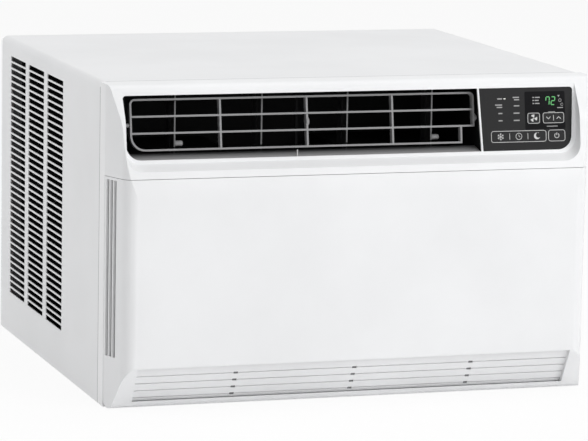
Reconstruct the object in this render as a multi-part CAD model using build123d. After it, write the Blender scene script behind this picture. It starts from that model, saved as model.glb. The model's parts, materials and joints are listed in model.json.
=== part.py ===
from build123d import *
import math
import os

# Window air conditioner, millimetres. X runs to the viewer's right, the front faces -Y, Z is up.
# The origin is at the middle of the footprint, on the sill.

# Overall size
width = 600
height = 380
case_depth = 500
nose_depth = 67

# Walls, gaps and fits
sheet = 1.2
wall = 2.5
panel_gap = 0.6
moving_gap = 0.4
running_fit = 0.08
seat_gap = 0.2

# Nose: plan
rim_depth = 23
taper_inset = 16
nose_corner = 17
profile_step = 0.05

# Nose: side profile
grille_top = 51
brow_apron = 11.6
brow_break_drop = 42
brow_break_depth = 55
crown_depth = 30
brow_soft = 120
brow_turn = 40
crown_soft = 12
hinge_radius = 9
grille_slope = 60

# Seam between the fascia and the front panel, and the fascia's dish
fascia_drop = 90.7
fascia_apron = 15.7
fascia_foot_depth = 48
fascia_lean = 9
dish_left_margin = 16
dish_right_margin = 22
dish_corner = 20
ledge_slope = 25

# Air outlet, in the leaning plane of the fascia
outlet_sill = 4
outlet_head = 12.83
outlet_margin = 4
control_span = 143
outlet_corner = 18
outlet_top_corner = 4

# Cabinet
case_corner = 8
rear_corner = 3
rear_flange = 14
louvre_columns = 3
louvre_rows = 37
louvre_length = 79
louvre_pitch = 96
louvre_start = 176
louvre_foot = 52.5
louvre_step = 8.35
louvre_open = 6.2

# Front panel: hinge, side intakes and the grille in its sloping foot
hinge_pin = 2
hinge_ear = 4
hinge_ear_inset = 14
intake_foot = 62
intake_margin = 3
intake_count = 3
intake_slot = 5.2
intake_slat = 1.7
intake_start = 3.5
foot_margin = 30
foot_slots = 4
foot_first = 11.2
foot_step = 9.4
foot_slot = 2
foot_slat_depth = 10
foot_slot_rise = 42
foot_recess = 5
foot_rail = 1
foot_ribs = 3
foot_rib_step = 147
foot_notch = 2.8

# Filter and its seat
seat_depth = 4
filter_inset = 35
filter_foot = 34
filter_thick = 5
filter_border = 9
filter_rib = 3
filter_bars = 5
filter_sheet = 0.8
window_margin = 10

# Louver grid
louver_setback = 18
louver_depth = 8
louver_bar = 2.2
louver_low = 15.7
louver_head = 4.5
louver_rows = 4
louver_bays = 4
louver_left_gap = 8.5
louver_right_gap = 3
louver_rib_shift = 3
louver_pin = 2.5
louver_boss = 5
louver_notch_width = 16
louver_notch_row = 1
post_width = 3
post_depth = 3.5

# Upright vanes and their links
vane_back = 15
vane_reach = 18
vane_thick = 1.6
vane_gap = 1
vane_shift = 7.5
vane_pin = 1.5
crank_pin = 1.2
crank_slack = 0.5
crank_reach = 13
link_height = 3
link_width = 5
link_drop = 8
knob_length = 10
knob_radius = 2.4
knob_up = 12

# Outlet housing and discharge duct
housing_back = 46
duct_wall = 2.5
roof_gap = 6

# Control panel: places are measured from its right edge and its foot
separator = 2
control_margin = 4.5
control_corner = 17
face_splay = 3.5
control_top_corner = 4
key_travel = 0.6
key_gap = 0.25
key_proud = 0.3
key_flange = 0.8
key_flange_thick = 1
key_corner = 1.6
low_row = 10.3
low_row_height = 13
power_right = 9.5
power_width = 21
bar_right = 33.8
bar_key_width = 23.3
high_row = 32.1
high_row_height = 12
temp_right = 10.4
temp_key_width = 13.2
fan_right = 41.5
fan_width = 15
carrier_depth = 26
board_thick = 1.6
switch_size = 5

# Control box
box_inset = 12
box_depth = 110
capacitor_radius = 17
capacitor_height = 62

# Base pan, bulkhead and drain
pan_lip = 24
bulkhead_at = 152
drain_radius = 8
plug_flange = 3
tray_depth = 57
tray_height = 26
tray_wall = 6
tray_floor = 10

# Fan line
fan_shift = 21.5
fan_drop = 12
shaft_radius = 6
wheel_radius = 80
wheel_width = 64
wheel_vanes = 30
wheel_plate = 2
scroll_gap = 14
scroll_front = 58
inlet_radius = 64
hub_radius = 16
hub_length = 18
motor_radius = 56
motor_length = 88
motor_gap = 14
bracket_foot = 90
bracket_thick = 4
bracket_wrap = 3
fan_radius = 140
fan_hub = 36
fan_depth = 34
fan_blades = 5
fan_pitch = 32
blade_width = 92
blade_thick = 2.4
slinger = 5
tip_gap = 8
shroud_wall = 2

# Coils
fin_depth = 40
tube_radius = 4.5
tube_rows = 8
coil_plate = 1.2
evaporator_left = 26
evaporator_right = 70
evaporator_at = 9
evaporator_roof = 5
condenser_side = 34
condenser_top = 26
condenser_back = 18

# Compressor and pipes
compressor_inset = 125
compressor_at = 236
compressor_radius = 58
compressor_height = 205
compressor_dome = 24
foot_plate = 3
foot_reach = 78
grommet_radius = 12
grommet_height = 14
stud_radius = 4
nut_radius = 8
nut_height = 6
accumulator_radius = 20
accumulator_height = 110
accumulator_gap = 8
cover_radius = 22
cover_height = 22
pipe_radius = 4
pipe_lift = 1
capillary_radius = 2

# Rear guard, screws and cord bush
guard_thick = 2
guard_bar = 4
guard_step = 13
guard_columns = 4
screw_radius = 3
screw_head = 1.2
screw_length = 8
bush_radius = 5.5
bush_bore = 3.8
bush_flange = 1.5
bush_z = 40

# Datum places worked out from the sizes above
half = width / 2
rear_y = (case_depth + nose_depth) / 2
front_y = -rear_y
seam_y = front_y + nose_depth
nose_back = 20
far = 2 * max(width, height, case_depth)
lean = math.radians(fascia_lean)
slope = math.radians(grille_slope)
fascia_foot = height - fascia_drop
panel_top = fascia_foot - fascia_apron
brow_start = panel_top - brow_apron
brow_break = height - brow_break_drop
dish_left = half - dish_left_margin
dish_right = half - dish_right_margin
outlet_left = outlet_margin - dish_left
outlet_right = half - control_span
outlet_top = fascia_drop / math.cos(lean) - outlet_head
louver_step = (outlet_top - louver_head - louver_low) / (louver_rows - 1)
filter_width = width - 2 * filter_inset
fan_x = (outlet_left + outlet_right) / 2 + fan_shift
fan_z = height / 2 - fan_drop
compressor_x = half - compressor_inset


def ahead(distance):
    """Y of a point so far in front of the seam."""
    return seam_y - distance


def behind(distance):
    """Y of a point so far behind the seam."""
    return seam_y + distance


def block(x, y, z):
    """Box between two limits on each axis."""
    spans = [sorted(limits) for limits in (x, y, z)]
    size = [high - low for low, high in spans]
    centre = [(high + low) / 2 for low, high in spans]
    return Pos(*centre) * Box(*size)


def rod(axis, first, second, radius, span):
    """Round bar along one axis; first and second are its other two places, in X, Y, Z order."""
    low, high = sorted(span)
    middle = (low + high) / 2
    if axis == "x":
        place = Pos(middle, first, second) * Rot(0, 90, 0)
    elif axis == "y":
        place = Pos(first, middle, second) * Rot(90, 0, 0)
    else:
        place = Pos(first, second, middle)
    return place * Cylinder(radius, high - low)


def outline(corners):
    """Flat face from (u, v, radius) corners."""
    face = make_face(Polyline(*[(u, v) for u, v, radius in corners], close=True))
    for u, v, radius in corners:
        if radius:
            face = fillet(face.vertices().sort_by_distance((u, v))[0], radius)
    return face


def mirror_x(shape):
    """The same shape on the other side of the middle."""
    return mirror(shape, about=Plane.YZ)


pieces = {}


def keep(name, *solids):
    """Stores a node made of one solid, or of several separate ones."""
    pieces[name] = solids[0] if len(solids) == 1 else Compound(children=list(solids))


# Nose body: the plan outline and the side profile, each drawn through and then intersected
hinge_y = ahead(rim_depth + panel_gap + hinge_radius)
hinge_z = hinge_radius


def nose_plan():
    front_half = half - taper_inset
    return outline([
        (-half, behind(nose_back), 0),
        (-half, ahead(rim_depth), 0),
        (-front_half, front_y, nose_corner),
        (front_half, front_y, nose_corner),
        (half, ahead(rim_depth), 0),
        (half, behind(nose_back), 0),
    ])


def nose_profile():
    knee = front_y
    touch_y = hinge_y - hinge_radius * math.sin(slope)
    touch_z = hinge_z - hinge_radius * math.cos(slope)
    toe_y = touch_y + touch_z / math.tan(slope)
    knee_z = touch_z + (touch_y - knee) * math.tan(slope)
    return outline([
        (behind(nose_back), 0, 0),
        (toe_y, 0, hinge_radius),
        (knee, knee_z, crown_soft),
        (knee, brow_start, brow_soft),
        (ahead(brow_break_depth), brow_break, brow_turn),
        (ahead(crown_depth), height, crown_soft),
        (behind(nose_back), height, 0),
    ])


def nose_solid(inset):
    plan = offset(nose_plan(), amount=-inset) if inset else nose_plan()
    side = offset(nose_profile(), amount=-inset - profile_step) if inset else nose_profile()
    tall = extrude(plan, amount=far, both=True)
    wide = extrude(Plane.YZ * side, amount=far, both=True)
    return tall & wide


in_front = block((-far, far), (ahead(0), ahead(far)), (-far, far))
nose_outer = nose_solid(0) & in_front
nose_inner = nose_solid(wall)

# Fascia plane: local x along X, local y up the lean
fascia_plane = Plane(
    origin=(0, ahead(fascia_foot_depth), fascia_foot),
    x_dir=(1, 0, 0),
    z_dir=(0, -math.cos(lean), math.sin(lean)),
)
fascia_back = fascia_plane.offset(-wall)


def dish(grow, plane):
    low = -grow
    high = height - fascia_foot + nose_depth
    corner = dish_corner + grow
    face = outline([
        (-dish_left - grow, low, corner),
        (dish_right + grow, low, corner),
        (dish_right + grow, high, 0),
        (-dish_left - grow, high, 0),
    ])
    drop = math.radians(ledge_slope)
    return extrude(plane * face, amount=far / 4, dir=(0, -math.cos(drop), -math.sin(drop)))


def outlet_face(inset):
    return outline([
        (outlet_left + inset, outlet_sill + inset, outlet_corner),
        (outlet_right - inset, outlet_sill + inset, 0),
        (outlet_right - face_splay - inset, outlet_top - inset, 0),
        (outlet_left - face_splay + inset, outlet_top - inset, outlet_top_corner),
    ])


# Control panel places in the fascia plane
control_left = outlet_right + separator
control_right = dish_right - control_margin


def control_face(inset):
    return outline([
        (control_left + inset, outlet_sill + inset, 0),
        (control_right - face_splay / 2 - inset, outlet_sill + inset, control_corner),
        (control_right + face_splay / 2 - inset, outlet_top - inset, control_top_corner),
        (control_left - face_splay + inset, outlet_top - inset, 0),
    ])


# Filter seat: a plate with a window just ahead of the seam
seat_front = ahead(seat_depth + wall)
filter_top = panel_top - panel_gap - filter_border
window_x = (-filter_width / 2 + window_margin, filter_width / 2 - window_margin)
window_z = (filter_foot + window_margin, filter_top - window_margin)


def filter_seat():
    plate = block((-half, half), (ahead(seat_depth), seat_front), (0, panel_top + wall)) & nose_outer
    plate -= block(window_x, (ahead(0), ahead(nose_depth)), window_z)
    edge = filter_width / 2 + seat_gap
    lip_y = seat_front - filter_thick - seat_gap
    z = (filter_foot, filter_top)
    rail = block((edge, edge + wall), (seat_front, lip_y), z)
    lip = block((edge - filter_border / 2, edge + wall), (lip_y, lip_y - wall), z)
    shelf_x = (-filter_width / 2, filter_width / 2)
    shelf = block(shelf_x, (seat_front, lip_y), (filter_foot - seat_gap - wall, filter_foot - seat_gap))
    side = rail + lip
    return plate + shelf + side + mirror_x(side)


bush_y = ahead((rim_depth + seat_depth + wall) / 2)


def front_frame():
    bowl = dish(0, fascia_plane)
    skin = nose_outer - nose_inner - bowl
    floor = (nose_inner & in_front & dish(wall, fascia_back)) - bowl
    chin = nose_inner & block((-half, half), (ahead(0), front_y), (panel_top, panel_top + wall))
    below = block((-far, far), (ahead(rim_depth), ahead(far)), (-far, panel_top))
    shell = (skin + floor + chin) - below
    hole = extrude(fascia_plane * outlet_face(0), amount=nose_depth, both=True)
    controls = extrude(fascia_plane * control_face(0), amount=2 * wall, both=True)
    bush_hole = rod("x", bush_y, bush_z, bush_radius, (half - 2 * wall, half + wall))
    lugs = [frame_lug(), mirror_x(frame_lug())]
    return (shell + filter_seat() + lugs) - hole - controls - bush_hole


def hinge_sides():
    """Inner and outer X of the two hinge ears on the panel, right side."""
    outer = half - hinge_ear_inset
    return outer - hinge_ear, outer


def frame_lug():
    inner, outer = hinge_sides()
    x = (inner - moving_gap - 2 * hinge_ear, inner - moving_gap)
    knuckle = hinge_radius - wall - 2 * moving_gap
    arm = block(x, (ahead(rim_depth), hinge_y), (hinge_z - hinge_pin, hinge_z + knuckle))
    root = block(x, (ahead(rim_depth / 2), ahead(rim_depth)), (0, hinge_z + knuckle))
    lug = arm + root + rod("x", hinge_y, hinge_z, knuckle, x)
    return lug - rod("x", hinge_y, hinge_z, hinge_pin, x)


def hinge_pin_solid():
    inner, outer = hinge_sides()
    return rod("x", hinge_y, hinge_z, hinge_pin, (inner - moving_gap - 2 * hinge_ear, outer))


def panel_ear():
    x = hinge_sides()
    knuckle = hinge_radius - wall
    arm = block(x, (hinge_y, hinge_y - 2 * hinge_radius), (hinge_z - hinge_pin, hinge_z + knuckle))
    ear = (arm & nose_outer) + rod("x", hinge_y, hinge_z, knuckle, x)
    return ear - rod("x", hinge_y, hinge_z, hinge_pin + running_fit, x)


grille_reach = half - foot_margin
foot_setback = foot_recess / math.sin(slope)


def foot_face_y(z):
    """Y of the grille's face at that height; it lies behind the two end cheeks."""
    return front_y + foot_setback + (grille_top - z) / math.tan(slope)


def foot_recess_solid():
    low = hinge_z - foot_rail
    return extrude(Plane.YZ * outline([
        (foot_face_y(grille_top), grille_top, 0),
        (foot_face_y(low), low, 0),
        (front_y - wall, low, 0),
        (front_y - wall, grille_top, 0),
    ]), amount=grille_reach, both=True)


def foot_grille_cuts():
    """Slots that rise inward between the blades, and a small notch in each blade's edge at the ribs."""
    climb = math.tan(math.radians(foot_slot_rise))
    cuts = []
    for row in range(foot_slots):
        low = foot_first + row * foot_step
        outer = foot_face_y(low) - foot_setback
        inner = foot_face_y(low) + 2 * foot_slat_depth
        sink = low - foot_setback * climb
        rise = low + 2 * foot_slat_depth * climb
        cuts.append(extrude(Plane.YZ * outline([
            (outer, sink, 0),
            (inner, rise, 0),
            (inner, rise + foot_slot, 0),
            (outer, sink + foot_slot, 0),
        ]), amount=grille_reach, both=True))
        for rib in range(foot_ribs):
            x = (rib - (foot_ribs - 1) / 2) * foot_rib_step
            notch_z = (low + foot_slot - foot_notch, low + foot_slot)
            cuts.append(block(grow((x, x), foot_notch), (outer, inner), notch_z))
    return cuts


def side_intake_cuts():
    cuts = []
    for index in range(intake_count):
        first = ahead(rim_depth + intake_start + index * (intake_slot + intake_slat))
        y = (first - intake_slot, first)
        cuts.append(block((-far, far), y, (intake_foot, panel_top - panel_gap - intake_margin)))
    return cuts


def front_panel():
    room = block((-far, far), (ahead(rim_depth + panel_gap), ahead(far)), (-far, panel_top - panel_gap))
    shell = (nose_outer - nose_inner) & room
    open_back = block(
        (-half + hinge_ear_inset / 2, half - hinge_ear_inset / 2),
        (hinge_y, ahead(0)),
        (-wall, hinge_z + hinge_radius),
    )
    corner = block((-far, far), (hinge_y, hinge_y + 2 * hinge_radius), (-hinge_radius, hinge_z))
    corner -= rod("x", hinge_y, hinge_z, hinge_radius - profile_step, (-far, far))
    run = foot_setback + foot_slat_depth / math.sin(slope)
    foot_z = (hinge_z - foot_rail, grille_top)
    foot_run = (foot_z[1] - foot_z[0]) / math.tan(slope)
    band = Plane.YZ * outline([
        (front_y, foot_z[1], 0),
        (front_y + run, foot_z[1], 0),
        (front_y + run + foot_run, foot_z[0], 0),
        (front_y, foot_z[0], 0),
    ])
    slats = extrude(band, amount=grille_reach + wall, both=True) & nose_outer
    top_z = (panel_top - panel_gap - wall, panel_top)
    top = nose_inner & room & block((-half, half), (front_y, hinge_y), top_z)
    ears = [panel_ear(), mirror_x(panel_ear())]
    body = (shell + slats - open_back - corner) + top
    body = body - foot_recess_solid() - foot_grille_cuts() - side_intake_cuts()
    return body + ears


def cabinet_wrap():
    outer = block((-half, half), (seam_y, rear_y), (0, height))
    inner = block((-half + sheet, half - sheet), (seam_y - sheet, rear_y - sheet), (-sheet, height - sheet))
    outer = fillet(outer.edges().filter_by(Axis.Y).group_by(Axis.Z)[-1], case_corner)
    inner = fillet(inner.edges().filter_by(Axis.Y).group_by(Axis.Z)[-1], case_corner - sheet)
    rear_edges = outer.faces().sort_by(Axis.Y)[-1].edges()
    outer = fillet(rear_edges - rear_edges.group_by(Axis.Z)[0], rear_corner)
    inside_edges = inner.faces().sort_by(Axis.Y)[-1].edges()
    inner = fillet(inside_edges - inside_edges.group_by(Axis.Z)[0], rear_corner - sheet)
    window = block(
        (-half + rear_flange, half - rear_flange),
        (rear_y - 2 * rear_corner, rear_y + sheet),
        (-sheet, height - rear_flange),
    )
    slots = []
    for column in range(louvre_columns):
        first = behind(louvre_start + column * louvre_pitch)
        for row in range(louvre_rows):
            low = louvre_foot + row * louvre_step
            slots.append(block((-far, far), (first, first + louvre_length), (low, low + louvre_open)))
    return outer - inner - window - slots


# Air outlet behind the fascia
floor_z = fascia_foot + outlet_sill * math.cos(lean) - panel_gap
roof_z = height - sheet - roof_gap
housing_x = (outlet_left - panel_gap, outlet_right + panel_gap)
housing_y = (behind(housing_back), front_y)
pivot_plane = fascia_plane.offset(-louver_setback)
louver_top = louver_low + (louver_rows - 1) * louver_step
louver_mid = (louver_low + louver_top) / 2
pivot = pivot_plane.from_local_coords((0, louver_mid, 0))
louver_x = (outlet_left + louver_left_gap, outlet_right - louver_right_gap)
bay_width = (louver_x[1] - louver_x[0]) / louver_bays
vane_y = behind(vane_back)
vane_xs = [louver_x[0] + (index + 0.5) * bay_width + vane_shift for index in range(louver_bays)]
vane_z = (floor_z + vane_gap, roof_z - vane_gap)


def grow(span, amount):
    return span[0] - amount, span[1] + amount


duct_z = grow((floor_z, roof_z), duct_wall)


def outlet_housing():
    outer_x = grow(housing_x, duct_wall)
    outer_z = duct_z
    tube = block(outer_x, housing_y, outer_z)
    tube -= block(housing_x, grow(housing_y, -far), (floor_z, roof_z))
    front = (tube & nose_inner & in_front) - dish(wall, fascia_back)
    back = tube & block(outer_x, (seam_y, behind(housing_back)), outer_z)
    post_x = louver_x[0] + bay_width * louver_bays / 2 + louver_rib_shift - louver_bar - post_width
    post_y = vane_y - vane_reach - moving_gap
    post = block((post_x - post_width, post_x), (post_y, post_y - post_depth), (floor_z, roof_z))
    holes = [rod("x", pivot.Y, pivot.Z, louver_pin + running_fit, outer_x)]
    for x in vane_xs:
        holes.append(rod("z", x, vane_y, vane_pin + running_fit, outer_z))
    return front + back + post - holes


def louver():
    bar = louver_bar
    low = louver_low - bar / 2
    high = louver_top + bar / 2
    step_z = louver_low + louver_notch_row * louver_step - bar / 2
    notch_x = louver_x[1] - louver_notch_width

    def edge(inset):
        return outline([
            (louver_x[0] + inset, low + inset, outlet_corner - inset),
            (notch_x - inset, low + inset, 0),
            (notch_x - inset, step_z + inset, 0),
            (louver_x[1] - inset, step_z + inset, 0),
            (louver_x[1] - inset, high - inset, bar + outlet_top_corner - inset),
            (louver_x[0] + inset, high - inset, bar + outlet_top_corner - inset),
        ])

    rim = edge(0)
    bars = rim - edge(bar)
    for row in range(1, louver_rows - 1):
        place = Pos((louver_x[0] + louver_x[1]) / 2, louver_low + row * louver_step)
        bars += place * Rectangle(louver_x[1] - louver_x[0], bar) & rim
    for rib in range(1, louver_bays):
        place = Pos(louver_x[0] + rib * bay_width + louver_rib_shift, louver_mid)
        bars += place * Rectangle(bar, louver_top - louver_low) & rim
    grid = extrude(pivot_plane * bars, amount=louver_depth / 2, both=True)
    left = rod("x", pivot.Y, pivot.Z, louver_pin, (housing_x[0] - duct_wall, louver_x[0] + bar))
    right = rod("x", pivot.Y, pivot.Z, louver_pin, (louver_x[1] - bar, housing_x[1] + duct_wall))
    boss = rod("x", pivot.Y, pivot.Z, louver_boss, (louver_x[1] - bar, louver_x[1] + louver_right_gap / 2))
    middle = louver_x[0] + bay_width * louver_bays / 2 + louver_rib_shift
    bump = rod("x", pivot.Y, pivot.Z, louver_boss, (middle - bar / 2, middle + bar))
    return grid + [left, right, boss, bump]


def vane(x, knob_side):
    top = vane_z[1]
    plate_x = (x - vane_thick / 2, x + vane_thick / 2)
    plate = block(plate_x, (vane_y - vane_reach, vane_y + vane_reach), vane_z)
    notch_z = top - 2 * link_drop
    notch_y = vane_y + crank_reach - link_width
    plate -= block(grow(plate_x, vane_thick), (notch_y, vane_y + 2 * vane_reach), (notch_z, top + vane_gap))
    plate += rod("z", x, vane_y, vane_pin, (floor_z - duct_wall, roof_z + duct_wall))
    crank_z = (notch_z - link_width, top - link_drop + link_height)
    plate += rod("z", x, vane_y + crank_reach, crank_pin, crank_z)
    if knob_side:
        knob_y = vane_y - vane_reach + knob_radius
        span = (x, x + knob_length)
        plate += rod("x", knob_y, vane_z[0] + knob_up, knob_radius, span)
    return plate


def vane_link(first, second):
    low = vane_z[1] - link_drop - moving_gap
    y = vane_y + crank_reach
    span = (min(first, second), max(first, second))
    half_width = link_width / 2
    bar = block(grow(span, half_width), grow((y, y), half_width), (low, low + link_height))
    snug = rod("z", first, y, crank_pin + running_fit, (low, low + link_height))
    loose = rod("z", second, y, crank_pin + crank_slack, (low, low + link_height))
    return bar - snug - loose


# Control panel: the plate, its keys, and the board behind them
key_back = -wall - moving_gap - key_flange_thick
board_front = key_back - key_travel - switch_size / 4 - moving_gap


def key_places():
    """Left, foot, width and height of every key in the fascia plane."""
    foot = outlet_sill + low_row
    upper = outlet_sill + high_row
    places = {}
    bar_left = control_right - bar_right - 3 * bar_key_width
    for index, name in enumerate(("mode", "timer", "sleep")):
        places[name] = (bar_left + index * bar_key_width, foot, bar_key_width, low_row_height)
    places["power"] = (control_right - power_right - power_width, foot, power_width, low_row_height)
    places["fan_speed"] = (control_right - fan_right - fan_width, upper, fan_width, high_row_height)
    temp_left = control_right - temp_right - 2 * temp_key_width
    places["temp_down"] = (temp_left, upper, temp_key_width, high_row_height)
    places["temp_up"] = (temp_left + temp_key_width, upper, temp_key_width, high_row_height)
    return places


def key_face(place, inset, tall=0):
    left, foot, wide, high = place
    middle = Pos(left + wide / 2, foot + high / 2)
    return middle * RectangleRounded(wide - 2 * inset, high - 2 * inset + 2 * tall, key_corner)


def lift(plane, depth):
    """The same plane moved along its own normal."""
    return plane.offset(depth)


def control_plate():
    plate = extrude(lift(fascia_plane, -wall) * control_face(seat_gap), amount=wall)
    for place in key_places().values():
        plate -= extrude(lift(fascia_plane, -2 * wall) * key_face(place, key_gap), amount=3 * wall)
    return plate


def key(place):
    cap_inset = 2 * key_gap
    cap = extrude(lift(fascia_plane, key_back) * key_face(place, cap_inset), amount=key_proud - key_back)
    flange = lift(fascia_plane, key_back) * key_face(place, cap_inset, key_flange + key_gap)
    return cap + extrude(flange, amount=key_flange_thick)


def switch_solids():
    solids = []
    for left, foot, wide, high in key_places().values():
        middle = Pos(left + wide / 2, foot + high / 2)
        face = lift(fascia_plane, board_front) * (middle * Rectangle(switch_size, switch_size))
        solids.append(extrude(face, amount=switch_size / 4))
    return solids


carrier_left = housing_x[1] + duct_wall + seat_gap
carrier_right = control_right + wall / 2
carrier_foot = outlet_sill - wall / 2
carrier_top = outlet_top + wall / 2


def carrier_face(inset):
    """Rectangle of the carrier's wall, that much in from its outside."""
    wide = carrier_right - carrier_left - 2 * inset
    high = carrier_top - carrier_foot - 2 * inset
    middle = Pos((carrier_left + carrier_right) / 2, (carrier_foot + carrier_top) / 2)
    return middle * Rectangle(wide, high)


def carrier_slab(depth, inset, thick):
    return extrude(lift(fascia_plane, depth) * carrier_face(inset), amount=thick)


def control_carrier():
    tube = carrier_slab(-wall - carrier_depth, 0, carrier_depth)
    tube -= carrier_slab(-wall - carrier_depth, wall, carrier_depth)
    ledge = carrier_slab(board_front - board_thick - wall, wall, wall)
    ledge -= carrier_slab(board_front - board_thick - wall, 2 * wall, wall)
    return (tube + ledge) & nose_inner


def switch_board():
    return carrier_slab(board_front - board_thick, wall + seat_gap, board_thick) & nose_inner


box_x = (control_left + separator, half - box_inset)
box_y = (behind(seat_gap), behind(box_depth))
box_z = (duct_z[0], roof_z)


def control_box():
    shell = block(box_x, box_y, box_z)
    hollow = block(grow(box_x, -sheet), (box_y[0] - sheet, box_y[1] - sheet), grow(box_z, -sheet))
    return shell - hollow + board_posts()


main_board_z = box_z[0] + sheet + screw_length
main_board_x = grow(box_x, -sheet - seat_gap)
capacitor_x = box_x[0] + sheet + capacitor_radius + screw_length
capacitor_y = behind(box_depth / 3)


def main_board():
    y = (box_y[0] + wall, box_y[1] - sheet - wall)
    return block(main_board_x, y, (main_board_z, main_board_z + board_thick))


def board_posts():
    solids = []
    for x in grow(main_board_x, -2 * screw_radius):
        for y in (box_y[0] + 2 * wall + screw_radius, box_y[1] - 2 * wall - screw_radius):
            solids.append(rod("z", x, y, screw_radius, (box_z[0] + sheet, main_board_z)))
    return solids


def capacitor():
    low = main_board_z + board_thick
    length = min(capacitor_height, box_z[1] - sheet - low - wall)
    return fillet(rod("z", capacitor_x, capacitor_y, capacitor_radius, (low, low + length)).edges(), sheet)


# Base pan, bulkhead and tray
pan_x = grow((-half, half), -sheet)
pan_y = (seam_y, rear_y - rear_corner)
condenser_y = (rear_y - condenser_back - fin_depth, rear_y - condenser_back)
shroud_y = (condenser_y[0] - 2 * slinger - fan_depth, condenser_y[0] - seat_gap)
drain_x = 6 * drain_radius - half
drain_y = shroud_y[0] - 4 * drain_radius
bulkhead_y = (behind(bulkhead_at), behind(bulkhead_at) + sheet)
tray_y = (behind(seat_gap), behind(tray_depth))
tray_x = grow(pan_x, -sheet)
coil_foot = sheet + tray_floor


def base_pan():
    pan = block(pan_x, pan_y, (0, pan_lip))
    pan -= block(grow(pan_x, -sheet), grow(pan_y, -sheet), (sheet, pan_lip + sheet))
    return pan - rod("z", drain_x, drain_y, drain_radius, (-sheet, 2 * sheet))


def drain_plug():
    plug = rod("z", drain_x, drain_y, drain_radius, (0, sheet))
    return plug + rod("z", drain_x, drain_y, drain_radius + plug_flange, (sheet, sheet + plug_flange))


def drain_tray():
    y = (pan_y[0] + sheet, tray_y[1])
    tray = block(tray_x, y, (sheet, sheet + tray_height))
    return tray - block(grow(tray_x, -tray_wall), grow(y, -tray_wall), (coil_foot, height))


evaporator_x = (-half + evaporator_left, half - evaporator_right)
evaporator_y = (behind(evaporator_at), behind(evaporator_at) + fin_depth)
evaporator_z = (coil_foot, duct_z[0] - evaporator_roof)
condenser_x = grow((-half, half), -condenser_side)
condenser_z = (sheet, height - condenser_top)


def between_rows(z, row):
    """Height midway between two tube rows of a coil."""
    return z[0] + row * (z[1] - z[0]) / tube_rows


suction_z = between_rows(evaporator_z, 2)
liquid_z = between_rows(evaporator_z, 1)
hot_z = between_rows(condenser_z, tube_rows - 1)
pipe_x = half - evaporator_right / 2
side_pipe_x = half - 3 * pipe_radius


def case_section(y):
    """Full cross-section of the inside of the case, between two places along Y."""
    solid = block(grow(pan_x, -sheet), y, (sheet, height - sheet - seat_gap))
    return fillet(solid.edges().filter_by(Axis.Y).group_by(Axis.Z)[-1], case_corner)


def bulkhead():
    plate = case_section(bulkhead_y)
    plate -= rod("y", fan_x, fan_z, shaft_radius + moving_gap * 4, grow(bulkhead_y, sheet))
    plate -= rod("y", pipe_x, suction_z, pipe_radius + seat_gap, grow(bulkhead_y, sheet))
    return plate - rod("y", side_pipe_x, liquid_z, capillary_radius + seat_gap, grow(bulkhead_y, sheet))


# Scroll and discharge duct
scroll_y = (behind(scroll_front), bulkhead_y[0])
scroll_radius = wheel_radius + scroll_gap
throat_x = (fan_x - scroll_radius, fan_x + scroll_radius / 2)


def scroll_space(extra, y):
    top = duct_z[0]
    body = rod("y", fan_x, fan_z, scroll_radius + extra, y)
    return body + block(grow(throat_x, extra), y, (fan_z, top))


def scroll():
    housing = scroll_space(duct_wall, scroll_y)
    housing -= scroll_space(0, grow(scroll_y, -duct_wall))
    mouth = block(throat_x, grow(scroll_y, -duct_wall), (fan_z, duct_z[0] + duct_wall))
    housing -= mouth - scroll_space(0, grow(scroll_y, -duct_wall))
    housing -= rod("y", fan_x, fan_z, inlet_radius, (scroll_y[0] - duct_wall, scroll_y[0] + 2 * duct_wall))
    return housing - rod("y", fan_x, fan_z, shaft_radius + moving_gap * 4, grow(scroll_y, duct_wall))


def discharge_duct():
    outer_x = grow(housing_x, duct_wall)
    y = (behind(housing_back), bulkhead_y[0])
    tube = block(outer_x, y, duct_z)
    tube -= block(housing_x, (y[0] - duct_wall, y[1] - duct_wall), (floor_z, roof_z))
    return tube - block(throat_x, grow(scroll_y, -duct_wall), (duct_z[0] - duct_wall, floor_z + duct_wall))


# Fan line: shaft, wheel, motor and rear fan share one axis
wheel_y = (scroll_y[1] - 2 * duct_wall - wheel_width, scroll_y[1] - 2 * duct_wall)
motor_y = (bulkhead_y[1] + motor_gap, bulkhead_y[1] + motor_gap + motor_length)
fan_y = (shroud_y[0] + slinger, shroud_y[0] + slinger + fan_depth)
shaft_y = (wheel_y[0], fan_y[1])


def fan_shaft():
    return rod("y", fan_x, fan_z, shaft_radius, shaft_y)


def blower_wheel():
    back = rod("y", fan_x, fan_z, wheel_radius, (wheel_y[1] - wheel_plate, wheel_y[1]))
    ring_y = (wheel_y[0], wheel_y[0] + 2 * wheel_plate)
    ring = rod("y", fan_x, fan_z, wheel_radius, ring_y)
    ring -= rod("y", fan_x, fan_z, inlet_radius + wheel_plate, ring_y)
    hub = rod("y", fan_x, fan_z, hub_radius, (wheel_y[1] - hub_length, wheel_y[1]))
    blades = []
    depth = wheel_radius - inlet_radius - 2 * wheel_plate
    for index in range(wheel_vanes):
        turn = Rot(0, index * 360 / wheel_vanes, 0)
        sweep = Pos(inlet_radius + wheel_plate + depth / 2, 0, 0) * Rot(0, fan_pitch, 0)
        strip = sweep * Box(depth, wheel_width - wheel_plate, wheel_plate / 2)
        blades.append(Pos(fan_x, sum(wheel_y) / 2 - wheel_plate / 2, fan_z) * turn * strip)
    wheel = back + ring + hub + blades
    return wheel - rod("y", fan_x, fan_z, shaft_radius, wheel_y)


def fan_motor():
    body = fillet(rod("y", fan_x, fan_z, motor_radius, motor_y).edges(), 4 * sheet)
    nose_y = (motor_y[0] - motor_gap / 2, motor_y[1] + motor_gap / 2)
    body += rod("y", fan_x, fan_z, motor_radius / 3, nose_y)
    return body - rod("y", fan_x, fan_z, shaft_radius + running_fit, grow(nose_y, sheet))


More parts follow.
